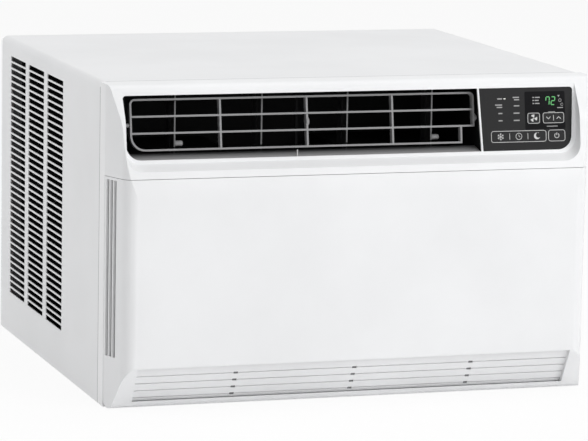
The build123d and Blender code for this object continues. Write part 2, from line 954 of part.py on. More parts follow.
def motor_bracket():
    y = grow((sum(motor_y) / 2, sum(motor_y) / 2), motor_length / 4)
    x = grow((fan_x, fan_x), bracket_foot)
    foot = block(x, y, (sheet, sheet + bracket_thick))
    cheek = block(grow((fan_x, fan_x), motor_radius), y, (sheet, fan_z))
    arch_x = grow((fan_x, fan_x), motor_radius - bracket_thick)
    cheek -= block(arch_x, grow(y, sheet), (sheet, fan_z - motor_radius))
    strap = rod("y", fan_x, fan_z, motor_radius + bracket_wrap, y)
    return foot + cheek + strap - rod("y", fan_x, fan_z, motor_radius, grow(y, sheet))


def bracket_bolts():
    solids = []
    low = sheet + bracket_thick
    for x in grow((fan_x, fan_x), (bracket_foot + motor_radius) / 2):
        for y in grow((sum(motor_y) / 2, sum(motor_y) / 2), motor_length / 8):
            solids.append(rod("z", x, y, screw_radius + sheet, (low, low + nut_height)))
    return solids


def condenser_fan():
    middle = sum(fan_y) / 2
    hub = rod("y", fan_x, fan_z, fan_hub, fan_y)
    ring_y = grow((middle, middle), slinger)
    ring = rod("y", fan_x, fan_z, fan_radius, ring_y)
    ring -= rod("y", fan_x, fan_z, fan_radius - slinger / 2, ring_y)
    span = rod("y", fan_x, fan_z, fan_radius - slinger / 4, fan_y)
    span -= rod("y", fan_x, fan_z, fan_hub - sheet, fan_y)
    blades = []
    reach = fan_radius - fan_hub
    for index in range(fan_blades):
        turn = Rot(0, index * 360 / fan_blades, 0)
        blank = Box(reach * 1.2, blade_thick, blade_width)
        plate = Pos(fan_hub + reach / 2, 0, 0) * Rot(-fan_pitch, 0, 0) * blank
        blades.append((Pos(fan_x, middle, fan_z) * turn * plate) & span)
    fan = hub + ring + blades
    return fan - rod("y", fan_x, fan_z, shaft_radius, fan_y)


shroud_x = grow(pan_x, -sheet)
shroud_z = (sheet, height - sheet - seat_gap)


def fan_shroud():
    box = case_section(shroud_y)
    hollow_y = (shroud_y[0] + shroud_wall, shroud_y[1] + sheet)
    hollow = block(grow(shroud_x, -shroud_wall), hollow_y, grow(shroud_z, -shroud_wall))
    box -= fillet(hollow.edges().filter_by(Axis.Y).group_by(Axis.Z)[-1], case_corner)
    box -= rod("y", side_pipe_x, hot_z, pipe_radius + seat_gap, grow(shroud_y, sheet))
    box -= rod("y", side_pipe_x, liquid_z, capillary_radius + seat_gap, grow(shroud_y, sheet))
    return box - rod("y", fan_x, fan_z, fan_radius + tip_gap, grow(shroud_y, sheet))


# Coils: a fin block between two plates, with return bends outside the plates


def fin_block(x, y, z):
    return block(grow(x, -coil_plate), y, z)


def coil_plates(x, y, z):
    return [block((side, side + coil_plate), y, z) for side in (x[0], x[1] - coil_plate)]


def return_bends(x, y, z):
    """Half-ring tubes at both ends; each joins two tube rows side by side."""
    solids = []
    middle = sum(y) / 2
    gauge = (y[1] - y[0]) / 4
    step = (z[1] - z[0]) / tube_rows
    for row in range(tube_rows):
        level = z[0] + (row + 0.5) * step
        for side, end in ((-1, x[0]), (1, x[1])):
            ring = Pos(end, middle, level) * Torus(gauge, tube_radius)
            half_space = block((end, end + side * far), (-far, far), (-far, far))
            solids.append(ring & half_space)
    return solids


# Compressor on three rubber feet
compressor_y = behind(compressor_at)
shell_foot = sheet + grommet_height
foot_angles = [90, 210, 330]


def foot_place(angle):
    reach = foot_reach - grommet_radius
    turn = math.radians(angle)
    return compressor_x + reach * math.cos(turn), compressor_y + reach * math.sin(turn)


def compressor_shell():
    low = shell_foot + foot_plate
    can = rod("z", compressor_x, compressor_y, compressor_radius, (low, low + compressor_height))
    can = fillet(can.edges().group_by(Axis.Z)[-1], compressor_dome)
    return fillet(can.edges().group_by(Axis.Z)[0], compressor_dome / 2)


def compressor_base():
    z = (shell_foot, shell_foot + foot_plate)
    plate = rod("z", compressor_x, compressor_y, compressor_radius, z)
    for angle in foot_angles:
        x, y = foot_place(angle)
        plate += rod("z", x, y, grommet_radius, z)
        arm = Pos(compressor_x, compressor_y, sum(z) / 2) * Rot(0, 0, angle)
        plate += arm * Pos((foot_reach - grommet_radius) / 2, 0, 0) * Box(
            foot_reach - grommet_radius, 2 * grommet_radius, foot_plate)
    for angle in foot_angles:
        plate -= rod("z", *foot_place(angle), stud_radius, grow(z, sheet))
    return plate


def on_feet(radius, z, bore=0):
    solids = []
    for angle in foot_angles:
        ring = rod("z", *foot_place(angle), radius, z)
        solids.append(ring - rod("z", *foot_place(angle), bore, z) if bore else ring)
    return solids


plate_top = shell_foot + foot_plate


def foot_bolts():
    """Stud and nut of each foot, as one solid."""
    studs = on_feet(stud_radius, (sheet, plate_top + nut_height))
    nuts = on_feet(nut_radius, (plate_top, plate_top + nut_height))
    return [stud + nut for stud, nut in zip(studs, nuts)]


accumulator_x = compressor_x - compressor_radius - accumulator_gap - accumulator_radius
accumulator_z = (shell_foot + compressor_height / 3, shell_foot + compressor_height / 3 + accumulator_height)


def accumulator():
    can = rod("z", accumulator_x, compressor_y, accumulator_radius, accumulator_z)
    can = fillet(can.edges(), accumulator_radius / 2)
    strap_z = grow((sum(accumulator_z) / 2, sum(accumulator_z) / 2), grommet_radius)
    strap_y = grow((compressor_y, compressor_y), grommet_radius / 2)
    strap = block((accumulator_x, compressor_x), strap_y, strap_z)
    strap -= rod("z", compressor_x, compressor_y, compressor_radius, strap_z)
    return can + strap


def terminal_cover():
    low = plate_top + compressor_height
    cover = rod("z", compressor_x, compressor_y, cover_radius, (low, low + cover_height))
    return fillet(cover.edges(), 2 * sheet)


# Pipes
def pipe(points, radius, bend):
    path = FilletPolyline(*points, radius=bend)
    start = Plane(origin=path @ 0, z_dir=path % 0)
    return sweep(start * Circle(radius), path=path)


pipe_bend = 4 * pipe_radius


def suction_pipe():
    top = accumulator_z[1]
    high = plate_top + compressor_height + pipe_radius + pipe_lift
    middle = sum(evaporator_y) / 2
    rise_y = bulkhead_y[1] + 2 * pipe_bend
    return pipe([
        (evaporator_x[1], middle, suction_z),
        (pipe_x, middle, suction_z),
        (pipe_x, rise_y, suction_z),
        (pipe_x, rise_y, high),
        (accumulator_x, compressor_y - 2 * accumulator_radius, high),
        (accumulator_x, compressor_y, high),
        (accumulator_x, compressor_y, top),
    ], pipe_radius, pipe_bend)


def discharge_pipe():
    x = compressor_x + compressor_radius / 2
    middle = sum(condenser_y) / 2
    return pipe([
        (x, compressor_y, plate_top + compressor_height),
        (x, compressor_y, hot_z),
        (side_pipe_x, compressor_y, hot_z),
        (side_pipe_x, middle, hot_z),
        (condenser_x[1], middle, hot_z),
    ], pipe_radius, 2 * pipe_radius)


def capillary_tube():
    return pipe([
        (condenser_x[1], sum(condenser_y) / 2, liquid_z),
        (side_pipe_x, sum(condenser_y) / 2, liquid_z),
        (side_pipe_x, sum(evaporator_y) / 2, liquid_z),
        (evaporator_x[1], sum(evaporator_y) / 2, liquid_z),
    ], capillary_radius, 2 * pipe_radius)


# Rear guard, screws, filter and cord bush
guard_y = (rear_y - sheet - guard_thick, rear_y - sheet)
guard_x = grow((-half, half), -rear_corner - sheet)
guard_z = (pan_lip, height - rear_corner - sheet)


def rear_guard():
    plate = block(guard_x, guard_y, guard_z)
    open_x = grow((-half, half), -rear_flange - 2 * guard_bar)
    open_z = (guard_z[0] + 2 * guard_bar, height - rear_flange - 2 * guard_bar)
    bay = (open_x[1] - open_x[0] + guard_bar) / guard_columns
    rows = int((open_z[1] - open_z[0] + guard_bar) / guard_step)
    cuts = []
    for column in range(guard_columns):
        left = open_x[0] + column * bay
        for row in range(rows):
            low = open_z[0] + row * guard_step
            x = (left, left + bay - guard_bar)
            cuts.append(block(x, grow(guard_y, sheet), (low, low + guard_step - guard_bar)))
    return plate - cuts


def guard_screws():
    solids = []
    low = guard_z[0] + guard_bar
    high = height - rear_flange - guard_bar
    edge = half - rear_flange - guard_bar
    for x in (-edge, 0, edge):
        for z in (low, high):
            solids.append(rod("y", x, z, screw_radius, (guard_y[1], guard_y[1] + screw_head)))
    return solids


filter_x = (-filter_width / 2, filter_width / 2)
filter_y = (seat_front - filter_thick, seat_front)


def filter_frame():
    frame = block(filter_x, filter_y, (filter_foot, filter_top))
    hole_x = grow(filter_x, -filter_border)
    hole_z = (filter_foot + filter_border, filter_top - filter_border)
    bay_x = (hole_x[1] - hole_x[0] + filter_rib) / filter_bars
    half_z = (hole_z[0] + hole_z[1]) / 2
    for index in range(filter_bars):
        left = hole_x[0] + index * bay_x
        x = (left, left + bay_x - filter_rib)
        frame -= block(x, grow(filter_y, sheet), (hole_z[0], half_z - filter_rib / 2))
        frame -= block(x, grow(filter_y, sheet), (half_z + filter_rib / 2, hole_z[1]))
    return frame - filter_net()


def filter_net():
    y = (seat_front - filter_sheet, seat_front)
    z = (filter_foot, filter_top)
    return block(grow(filter_x, -filter_border / 2), y, grow(z, -filter_border / 2))


def cord_bush():
    x = (half - wall, half)
    bush = rod("x", bush_y, bush_z, bush_radius, x)
    bush += rod("x", bush_y, bush_z, bush_radius + bush_flange, (x[0] - bush_flange, x[0]))
    return bush - rod("x", bush_y, bush_z, bush_bore, grow(x, 2 * bush_flange))


def room_sensor():
    x = evaporator_x[0] + fin_depth
    middle = sum(evaporator_z) / 2
    y = (evaporator_y[0] - 2 * capillary_radius, evaporator_y[0])
    return block((x, x + fin_depth / 2), y, grow((middle, middle), 2 * capillary_radius))


keep("front_frame", front_frame())
keep("front_panel", front_panel())
keep("hinge_pins", hinge_pin_solid(), mirror_x(hinge_pin_solid()))
keep("cabinet_wrap", cabinet_wrap())
keep("outlet_housing", outlet_housing())
keep("louver", louver())
for index, x in enumerate(vane_xs):
    keep(f"vane_{index + 1}", vane(x, index in (0, louver_bays - 1)))
keep("vane_link_left", vane_link(vane_xs[0], vane_xs[1]))
keep("vane_link_right", vane_link(vane_xs[-1], vane_xs[-2]))
keep("control_plate", control_plate())
for name, place in key_places().items():
    keep(f"key_{name}", key(place))
keep("control_carrier", control_carrier())
keep("switch_board", switch_board())
keep("key_switches", *switch_solids())
keep("control_box", control_box())
keep("main_board", main_board())
keep("capacitor", capacitor())
keep("base_pan", base_pan())
keep("drain_plug", drain_plug())
keep("drain_tray", drain_tray())
keep("bulkhead", bulkhead())
keep("scroll", scroll())
keep("discharge_duct", discharge_duct())
keep("fan_shaft", fan_shaft())
keep("blower_wheel", blower_wheel())
keep("fan_motor", fan_motor())
keep("motor_bracket", motor_bracket())
keep("bracket_bolts", *bracket_bolts())
keep("condenser_fan", condenser_fan())
keep("fan_shroud", fan_shroud())
keep("evaporator_fins", fin_block(evaporator_x, evaporator_y, evaporator_z))
keep("evaporator_plates", *coil_plates(evaporator_x, evaporator_y, evaporator_z))
keep("evaporator_bends", *return_bends(evaporator_x, evaporator_y, evaporator_z))
keep("condenser_fins", fin_block(condenser_x, condenser_y, condenser_z))
keep("condenser_plates", *coil_plates(condenser_x, condenser_y, condenser_z))
keep("condenser_bends", *return_bends(condenser_x, condenser_y, condenser_z))
keep("compressor_shell", compressor_shell())
keep("compressor_base", compressor_base())
keep("compressor_grommets", *on_feet(grommet_radius, (sheet, shell_foot), stud_radius))
keep("compressor_bolts", *foot_bolts())
keep("accumulator", accumulator())
keep("terminal_cover", terminal_cover())
keep("suction_pipe", suction_pipe())
keep("discharge_pipe", discharge_pipe())
keep("capillary_tube", capillary_tube())
keep("rear_guard", rear_guard())
keep("guard_screws", *guard_screws())
keep("filter_frame", filter_frame())
keep("filter_net", filter_net())
keep("cord_bush", cord_bush())
keep("room_sensor", room_sensor())

os.makedirs("parts", exist_ok=True)
for name, shape in pieces.items():
    export_step(shape, f"parts/{name}.step")
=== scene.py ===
import json
import math

import bmesh
import bpy
from mathutils import Euler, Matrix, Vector


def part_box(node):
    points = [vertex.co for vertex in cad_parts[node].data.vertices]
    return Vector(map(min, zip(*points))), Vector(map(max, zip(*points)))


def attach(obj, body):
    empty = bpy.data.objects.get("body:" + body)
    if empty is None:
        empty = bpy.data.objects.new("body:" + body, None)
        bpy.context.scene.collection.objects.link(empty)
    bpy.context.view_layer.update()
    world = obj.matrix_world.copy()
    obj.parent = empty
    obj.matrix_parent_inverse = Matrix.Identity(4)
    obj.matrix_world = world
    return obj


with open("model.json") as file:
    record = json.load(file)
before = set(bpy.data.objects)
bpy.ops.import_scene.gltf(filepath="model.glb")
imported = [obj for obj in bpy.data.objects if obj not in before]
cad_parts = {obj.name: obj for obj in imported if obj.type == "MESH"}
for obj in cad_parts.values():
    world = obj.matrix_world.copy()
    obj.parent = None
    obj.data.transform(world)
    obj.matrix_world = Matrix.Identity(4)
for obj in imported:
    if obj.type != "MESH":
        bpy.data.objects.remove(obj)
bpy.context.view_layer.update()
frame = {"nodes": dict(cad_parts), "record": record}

nodes = frame["nodes"]
mm = 0.001

# Camera: a long lens from the front left, a little above
camera_place = (-1.34885, -4.1770, 0.87763)
camera_turn = (80.8824, -1.0562, -17.8430)
camera_lens = 217.4
camera_sensor = 36
camera_reach = 60

# Lights: place, target, size and power of each
unit_middle = (0, 0, 0.19)
unit_foot = (0, -0.28, 0.03)
lights = {
    "key_light": ((2.3, -3.3, 1.8), unit_middle, (2.2, 1.8), 66),
    "top_light": ((0.3, -0.2, 3.2), unit_middle, (2.6, 2.6), 37),
    "side_light": ((-3.2, 1.9, 1.2), unit_middle, (2.0, 1.8), 31),
    "foot_light": ((0.4, -3.6, 0.3), unit_foot, (2.4, 0.4), 7),
}

# Stage
white = (1, 1, 1, 1)
floor_size = 14
floor_drop = 0.0005
floor_colour = (0.93, 0.93, 0.93, 1)
world_strength = 0.42
floor_glow = 0.9

# Shadow line in the case's paint where the nose meets it: place and width in metres, and share of the colour
case_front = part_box("cabinet_wrap")[0].y
seam_width = 0.0016
seam_shade = 0.3

# Fascia plane: u runs along X from the middle, v up the lean from its foot, both in millimetres
fascia_y = -264.5
fascia_z = 289.3
fascia_lean = math.radians(9)
print_lift = 0.05
upper_lift = 2 * print_lift

# Keys on the fascia, with the frames printed round them and the signs printed on them
display_keys = ("fan_speed", "temp_down", "temp_up")
key_proud = 0.3
key_gap = 0.25
key_flange_foot = 1.65
key_flange_top = 0.61
frame_thick = 0.65
low_frame_radius = 3.2
high_frame_radius = 2.6
divider_inset = 0.2
sign_thick = 0.6
power_thick = 0.8
arrow_thick = 0.75
sign_size = {
    "mode": 4.2,
    "timer": 3.8,
    "sleep": 4.0,
    "power": 2.8,
    "fan_speed": 4.4,
    "temp_down": 2.6,
    "temp_up": 2.6,
}

# Display; areas are left, foot, right and top
window_area = (213.5, 28.5, 265, 74)
window_radius = 1.5
figure_left = (240.2, 247.2)
figure_lit = ("abcf", "abged")
figure_foot = 57.8
figure_size = (4.4, 9.4)
figure_thick = 1.0
figure_slant = math.radians(5)
dash_left = 223.5
dash_foot = 59
dash_step = 3.6
dash_high = 1.3
dash_lengths = (9, 8, 9.5)
dash_break = (0.25, 0.36)
pointer_corners = [(255.6, 69.2), (258.6, 69.2), (257.1, 66.8)]
ring_centre = (258.8, 63.0)
ring_radius = 1.7
open_ring_centre = (261.2, 58.0)
open_ring_radius = 1.5
open_ring_sweep = (20, 340)
ring_thick = 0.6
mark_area = (255, 53.6, 262.5, 54.6)
temp_label_area = (243.5, 48.0, 252, 49.6)
temp_hint_area = (241, 31.6, 255, 32.5)

# Lamps: the right edge of each column's labels and the lengths of their lines, from the top down
lamp_columns = (
    (184.5, ((6,), (9, 7), (5,), (5,))),
    (206.4, ((8, 6.5), (7,), (7.5,), (7.5,))),
)
lamp_top = 66
lamp_step = 8.7
lamp_gap = 2
lamp_width = 2.6
lamp_height = 1.2
label_height = 1.4

# Ribbed grips and noses of the vanes, the noses lighter as a painted highlight: sizes in millimetres, and
# places from the vane's box
grip_back = 2.4
grip_up = 15.5
grip_reach = 9.6
grip_length = 9.9
grip_core = 2.9
grip_ridge = 3.4
grip_ridges = 4
grip_sides = 20
vane_pin = 1.5
nose_half = 0.85
nose_proud = 0.15
nose_deep = 0.8
nose_foot = 12
nose_top = 4

# Ramp and rib on the outlet's floor, in millimetres
sill_floor = 292.65
sill_x = (-275, 156.4)
sill_y = (-261, -240)
sill_heights = (0.3, 5.0)
sill_fade = 1
sill_rib_x = (-73.2, -72.2)
sill_rib_deep = 1.6
sill_rib_height = 8.2

# Foot grille of the front panel, in millimetres
grille_top = 51
grille_slope = math.radians(60)
grille_recess = 5
notch_reach = 147
rib_half = 3
rib_sink = 1.8
rib_thick = 3
rib_z = (9.5, 43)


def link(piece):
    bpy.context.scene.collection.objects.link(piece)
    return piece


def make_camera():
    data = bpy.data.cameras.new("camera")
    data.lens = camera_lens
    data.sensor_width = camera_sensor
    data.clip_end = camera_reach
    camera = link(bpy.data.objects.new("camera", data))
    camera.location = camera_place
    camera.rotation_euler = Euler([math.radians(angle) for angle in camera_turn])
    bpy.context.scene.camera = camera


def area_light(name, place, target, size, power):
    data = bpy.data.lights.new(name, "AREA")
    data.shape = "RECTANGLE"
    data.size, data.size_y = size
    data.energy = power
    lamp = link(bpy.data.objects.new(name, data))
    lamp.location = place
    lamp.rotation_euler = (Vector(target) - Vector(place)).to_track_quat("-Z", "Y").to_euler()


def make_lights():
    for name, settings in lights.items():
        area_light(name, *settings)


class Shader:
    """Small helper that adds and joins nodes of one material."""

    def __init__(self, name):
        self.material = bpy.data.materials.new(name)
        self.material.use_nodes = True
        self.tree = self.material.node_tree
        self.surface = self.tree.nodes["Principled BSDF"]
        self.place = self.add("ShaderNodeTexCoord").outputs["Object"]

    def add(self, kind, **settings):
        node = self.tree.nodes.new(kind)
        for key, value in settings.items():
            if key in node.inputs:
                node.inputs[key].default_value = value
            else:
                setattr(node, key, value)
        return node

    def join(self, source, target):
        self.tree.links.new(source, target)

    def noise(self, scale, detail=3.0, stretch=(1, 1, 1)):
        spread = self.add("ShaderNodeMapping", Scale=stretch)
        self.join(self.place, spread.inputs["Vector"])
        node = self.add("ShaderNodeTexNoise", Scale=scale, Detail=detail)
        self.join(spread.outputs["Vector"], node.inputs["Vector"])
        return node.outputs["Fac"]

    def cells(self, scale, feature="F1"):
        node = self.add("ShaderNodeTexVoronoi", Scale=scale, feature=feature)
        self.join(self.place, node.inputs["Vector"])
        return node

    def stripes(self, direction, pitch):
        """Bands across one axis, one to each pitch in metres."""
        node = self.add("ShaderNodeTexWave", wave_type="BANDS", bands_direction=direction)
        node.inputs["Scale"].default_value = math.pi / (10 * pitch)
        self.join(self.place, node.inputs["Vector"])
        return node.outputs["Fac"]

    def ramp(self, source, low, high, start=0.35, stop=0.65):
        """Colour that runs from low to high as the source rises."""
        node = self.add("ShaderNodeValToRGB")
        first, last = node.color_ramp.elements
        first.position, last.position = start, stop
        first.color, last.color = low, high
        self.join(source, node.inputs["Fac"])
        return node.outputs["Color"]

    def span(self, source, low, high, start=0.3, stop=0.7):
        """Number that runs from low to high as the source goes from start to stop."""
        node = self.add("ShaderNodeMapRange")
        node.inputs["From Min"].default_value = start
        node.inputs["From Max"].default_value = stop
        node.inputs["To Min"].default_value = low
        node.inputs["To Max"].default_value = high
        self.join(source, node.inputs["Value"])
        return node.outputs["Result"]

    def bump(self, source, strength, distance):
        node = self.add("ShaderNodeBump", Strength=strength, Distance=distance)
        self.join(source, node.inputs["Height"])
        self.join(node.outputs["Normal"], self.surface.inputs["Normal"])

    def along_y(self):
        axes = self.add("ShaderNodeSeparateXYZ")
        self.join(self.place, axes.inputs["Vector"])
        return axes.outputs["Y"]

    def shadow_line(self, source, start, stop, shade):
        """Source colour with a line of another shade where Y lies between start and stop, in metres."""
        inside = self.add("ShaderNodeMath", operation="COMPARE")
        self.join(self.along_y(), inside.inputs[0])
        inside.inputs[1].default_value = (start + stop) / 2
        inside.inputs[2].default_value = (stop - start) / 2
        mix = self.add("ShaderNodeMixRGB", Color2=shade)
        self.join(inside.outputs["Value"], mix.inputs["Fac"])
        self.join(source, mix.inputs["Color1"])
        return mix.outputs["Color"]

    def colour(self, source):
        self.join(source, self.surface.inputs["Base Color"])

    def rough(self, source):
        self.join(source, self.surface.inputs["Roughness"])


def tint(colour, factor):
    return tuple(min(1.0, channel * factor) for channel in colour[:3]) + (1,)


def moulded(name, colour, rough, grain=1400, depth=0.05, vary=0.02, cloud=7, gloss=0.5, seam=None):
    """Moulded plastic or powder coat: faint cloudiness, fine grain, and a shadow line where seam says."""
    shader = Shader(name)
    shader.surface.inputs["Specular IOR Level"].default_value = gloss
    clouds = shader.noise(cloud)
    cloudy = shader.ramp(clouds, tint(colour, 1 - vary), tint(colour, 1 + vary))
    if seam:
        cloudy = shader.shadow_line(cloudy, *seam, tint(colour, seam_shade))
    shader.colour(cloudy)
    fine = shader.noise(grain, 2)
    shader.rough(shader.span(fine, rough - 0.05, rough + 0.05))
    shader.bump(fine, 0.25, depth * mm)
    return shader.material


def metal(name, colour, rough, grain=60, stretch=(1, 1, 1), vary=0.08):
    shader = Shader(name)
    shader.surface.inputs["Metallic"].default_value = 1
    streak = shader.noise(grain, 4, stretch)
    shader.colour(shader.ramp(streak, tint(colour, 1 - vary), tint(colour, 1 + vary)))
    shader.rough(shader.span(streak, rough - 0.08, rough + 0.08))
    shader.bump(streak, 0.15, 0.05 * mm)
    return shader.material


def galvanised(name, colour):
    shader = Shader(name)
    shader.surface.inputs["Metallic"].default_value = 0.9
    spangle = shader.cells(90)
    shader.colour(shader.ramp(spangle.outputs["Color"], tint(colour, 0.82), tint(colour, 1.1), 0.1, 0.9))
    shader.rough(shader.span(spangle.outputs["Distance"], 0.32, 0.5))
    return shader.material


def finned(name, colour, pitch):
    """Stack of thin upright fins: stripes across X, with painted shade darkening the gaps between the fins.
    """
    shader = Shader(name)
    shader.surface.inputs["Metallic"].default_value = 0.85
    stripes = shader.stripes("X", pitch)
    shader.colour(shader.ramp(stripes, tint(colour, 0.12), colour + (1,), 0.25, 0.6))
    shader.rough(shader.span(shader.noise(40), 0.35, 0.5))
    shader.bump(stripes, 0.8, 0.6 * mm)
    return shader.material


def painted_shade_along_y(name, front, back, start, stop):
    """Painted shade on plastic: colour that runs from one colour to another along Y, from start to stop in
    metres.
    """
    shader = Shader(name)
    depth = shader.span(shader.along_y(), 0, 1, start, stop)
    shader.colour(shader.ramp(depth, front + (1,), back + (1,), 0, 1))
    shader.rough(shader.span(shader.noise(1400, 2), 0.35, 0.45))
    return shader.material


def foam(name, colour):
    shader = Shader(name)
    beads = shader.cells(320, "SMOOTH_F1")
    shader.colour(shader.ramp(beads.outputs["Distance"], tint(colour, 1.02), tint(colour, 0.9), 0.2, 0.8))
    shader.surface.inputs["Roughness"].default_value = 0.85
    shader.bump(beads.outputs["Distance"], 0.5, 0.4 * mm)
    return shader.material


def circuit(name, colour):
    shader = Shader(name)
    bricks = shader.add("ShaderNodeTexBrick", Scale=180)
    bricks.inputs["Color1"].default_value = tint(colour, 0.9)
    bricks.inputs["Color2"].default_value = tint(colour, 1.1)
    bricks.inputs["Mortar"].default_value = tint(colour, 1.6)
    shader.join(shader.place, bricks.inputs["Vector"])
    shader.colour(bricks.outputs["Color"])
    shader.rough(shader.span(shader.noise(200), 0.3, 0.45))
    return shader.material


def netting(name, colour, pitch):
    """Woven filter net: fine crossing threads, with painted shade darkening the gaps between them."""
    shader = Shader(name)
    both = shader.add("ShaderNodeMath", operation="MAXIMUM")
    shader.join(shader.stripes("X", pitch), both.inputs[0])
    shader.join(shader.stripes("Z", pitch), both.inputs[1])
    shader.colour(shader.ramp(both.outputs["Value"], tint(colour, 0.3), tint(colour, 1.6), 0.6, 0.95))
    shader.surface.inputs["Roughness"].default_value = 0.8
    shader.bump(both.outputs["Value"], 0.6, 0.3 * mm)
    return shader.material


def glowing(name, colour, strength):
    """Lit segment: a little uneven, as light behind a film is."""
    shader = Shader(name)
    uneven = shader.noise(300)
    shader.surface.inputs["Base Color"].default_value = tint(colour, 0.2)
    light = shader.ramp(uneven, tint(colour, 0.9), colour + (1,))
    shader.join(light, shader.surface.inputs["Emission Color"])
    shader.surface.inputs["Emission Strength"].default_value = strength
    return shader.material


# Finish of each material slot of the CAD nodes
finish = {
    "front_white": moulded("front_white", (0.84, 0.845, 0.855), 0.42),
    "case_paint": moulded("case_paint", (0.80, 0.805, 0.815), 0.46, 900, 0.06,
                          seam=(case_front, case_front + seam_width)),
    "guard_paint": moulded("guard_paint", (0.70, 0.705, 0.715), 0.5, 900, 0.06),
    "louver_grey": moulded("louver_grey", (0.27, 0.27, 0.275), 0.45, vary=0.05),
    # Vanes: near black as painted shade, since their sides lie in the outlet's shade
    "vane_grey": moulded("vane_grey", (0.022, 0.022, 0.023), 0.6, vary=0.08, gloss=0.2),
    "outlet_dark": moulded("outlet_dark", (0.006, 0.006, 0.0065), 0.6, vary=0.1, gloss=0.08),
    "control_charcoal": moulded("control_charcoal", (0.0145, 0.0145, 0.0152), 0.5, 2200, 0.02, gloss=0.15),
    "key_charcoal": moulded("key_charcoal", (0.016, 0.016, 0.0168), 0.5, 2200, 0.02, gloss=0.15),
    "galvanised": galvanised("galvanised", (0.25, 0.257, 0.265)),
    "coil_fins": finned("coil_fins", (0.19, 0.193, 0.196), 1.8 * mm),
    "copper": metal("copper", (0.72, 0.34, 0.20), 0.32),
    "foam_white": foam("foam_white", (0.72, 0.72, 0.70)),
    "fan_plastic": moulded("fan_plastic", (0.02, 0.02, 0.022), 0.55, vary=0.1),
    "shroud_black": moulded("shroud_black", (0.008, 0.008, 0.009), 0.8, vary=0.1, gloss=0.05),
    "black_enamel": moulded("black_enamel", (0.012, 0.012, 0.013), 0.25, 500, 0.05),
    "rubber_black": moulded("rubber_black", (0.018, 0.018, 0.018), 0.75, vary=0.15),
    "steel": metal("steel", (0.58, 0.58, 0.59), 0.35, 80, (1, 12, 1)),
    "board_green": circuit("board_green", (0.03, 0.14, 0.06)),
    "switch_black": moulded("switch_black", (0.02, 0.02, 0.02), 0.5, vary=0.1),
    "capacitor_can": metal("capacitor_can", (0.66, 0.66, 0.67), 0.3, 60, (1, 1, 14)),
    "filter_plastic": moulded("filter_plastic", (0.10, 0.11, 0.13), 0.5, vary=0.05),
    "filter_mesh": netting("filter_mesh", (0.06, 0.065, 0.075), 1.6 * mm),
}

# Finishes of the added pieces
print_white = moulded("print_white", (0.62, 0.62, 0.62), 0.6, 2600, 0.01, 0.06, 60, 0.2)
print_grey = moulded("print_grey", (0.36, 0.36, 0.36), 0.6, 2600, 0.01, 0.06, 60, 0.2)
window_black = moulded("window_black", (0.007, 0.007, 0.008), 0.5, 2600, 0.01, 0.1, 60, 0.05)
lamp_dark = moulded("lamp_dark", (0.006, 0.006, 0.006), 0.4, 2600, 0.01, 0.1, 60, 0.2)
digit_green = glowing("digit_green", (0.14, 0.62, 0.19), 0.75)
lamp_white = glowing("lamp_white", (0.85, 0.85, 0.80), 0.8)
knob_grey = moulded("knob_grey", (0.55, 0.55, 0.555), 0.5, vary=0.05)
# Painted shade on the outlet's floor ramp: grey at the front, darkening to near black towards the back
sill_painted_shade = painted_shade_along_y("sill_painted_shade", (0.36, 0.36, 0.365), (0.05, 0.05, 0.052),
                   (sill_y[0] + sill_fade) * mm, (sill_y[1] - sill_fade) * mm)
# Grey for painted light: painted highlight on the vanes' front edges, and painted shade on the foot grille's
# ribs
vane_edge = moulded("vane_edge", (0.22, 0.22, 0.225), 0.5, vary=0.05)


def dress_cad():
    """Every CAD node gets the finish of its material slot."""
    for entry in frame["record"]["subparts"]:
        data = nodes[entry["node"]].data
        data.materials.clear()
        data.materials.append(finish[entry["material_slot"]])


def plain_rays(tree):
    """1 for the rays that see the backdrop itself: camera, glossy and transmission."""
    path = tree.nodes.new("ShaderNodeLightPath")
    total = path.outputs["Is Camera Ray"]
    for name in ("Is Glossy Ray", "Is Transmission Ray"):
        larger = tree.nodes.new("ShaderNodeMath")
        larger.operation = "MAXIMUM"
        tree.links.new(total, larger.inputs[0])
        tree.links.new(path.outputs[name], larger.inputs[1])
        total = larger.outputs["Value"]
    return total


def make_floor():
    """Pale paper that looks evenly bright to the camera and still takes a shadow."""
    mesh = bpy.data.meshes.new("floor")
    edge = floor_size / 2
    corners = ((-edge, -edge), (edge, -edge), (edge, edge), (-edge, edge))
    mesh.from_pydata([(x, y, -floor_drop) for x, y in corners], [], [(0, 1, 2, 3)])
    floor = link(bpy.data.objects.new("floor", mesh))
    shader = Shader("floor_paper")
    shader.colour(shader.ramp(shader.noise(2), tint(floor_colour, 0.99), tint(floor_colour, 1.01)))
    shader.surface.inputs["Roughness"].default_value = 0.9
    glow = shader.add("ShaderNodeEmission", Color=white, Strength=1)
    seen = shader.add("ShaderNodeMath", operation="MULTIPLY")
    seen.inputs[1].default_value = floor_glow
    shader.join(plain_rays(shader.tree), seen.inputs[0])
    mix = shader.add("ShaderNodeMixShader")
    shader.join(seen.outputs["Value"], mix.inputs["Fac"])
    shader.join(shader.surface.outputs["BSDF"], mix.inputs[1])
    shader.join(glow.outputs["Emission"], mix.inputs[2])
    shader.join(mix.outputs["Shader"], shader.tree.nodes["Material Output"].inputs["Surface"])
    mesh.materials.append(shader.material)


